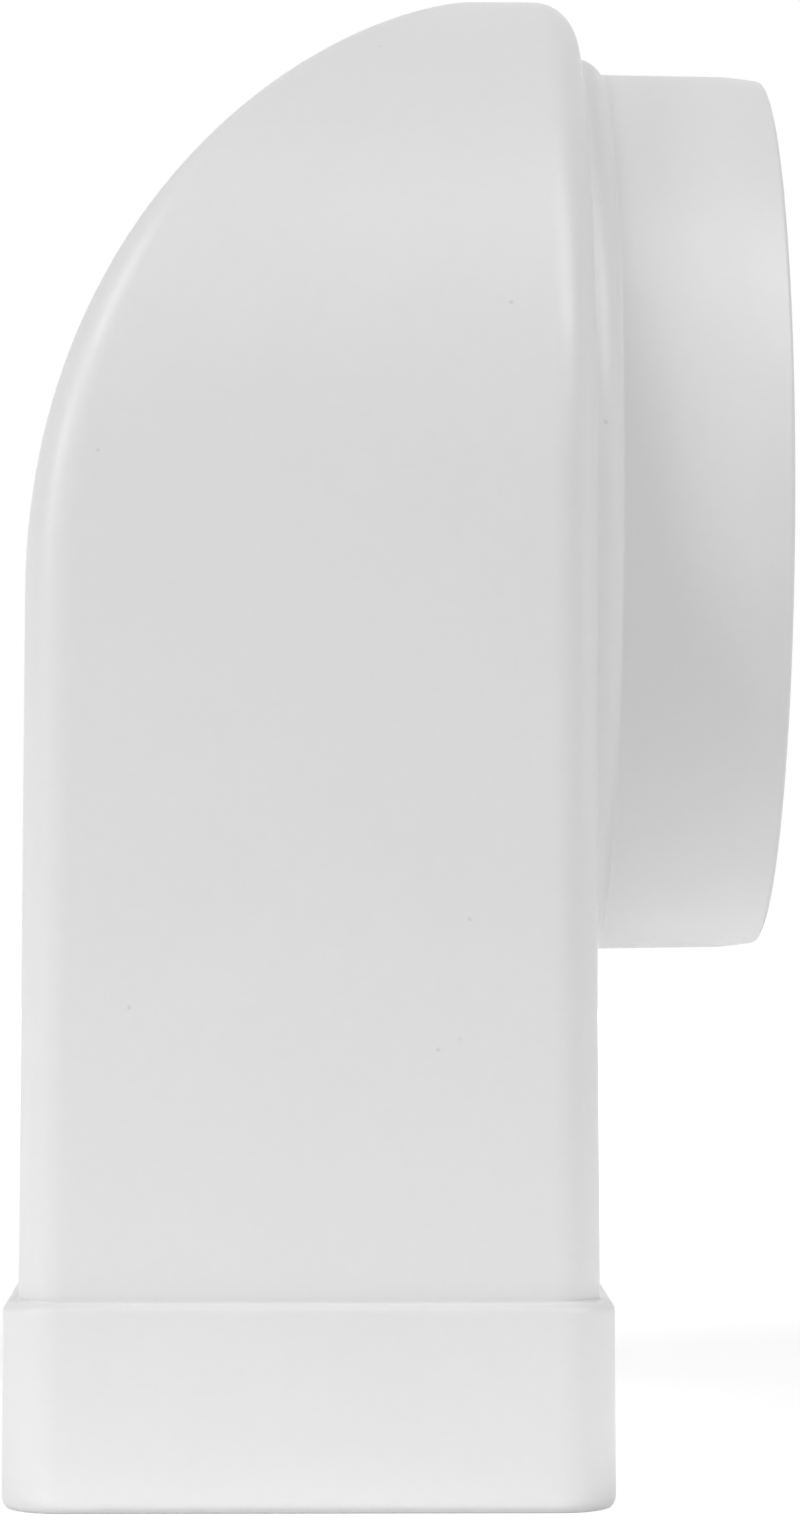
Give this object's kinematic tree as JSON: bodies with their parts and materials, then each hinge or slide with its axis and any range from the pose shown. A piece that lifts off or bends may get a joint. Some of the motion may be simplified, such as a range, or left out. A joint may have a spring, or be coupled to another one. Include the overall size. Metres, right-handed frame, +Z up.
{
  "type": "duct elbow adaptor",
  "caption": "White plastic right-angle duct elbow: a flat rectangular socket below opens through an arched, curved-back hood into a short round spigot at the side.",
  "frame": {"origin": "level with the socket's mouth, below the middle of the fitting's bounding box", "axes": "+Z up from the rectangular socket's mouth to the arched crown, +X along the round spigot out of its mouth, Y across the fitting, which is the same on both sides of the XZ plane"},
  "size_m": [0.0828, 0.1234, 0.164],
  "materials": {
    "white_plastic": "satin moulded"
  },
  "bodies": {
    "root": {"hood_body": "white_plastic", "socket_collar": "white_plastic", "round_spigot": "white_plastic", "seating_ring": "white_plastic"}
  },
  "joints": []
}
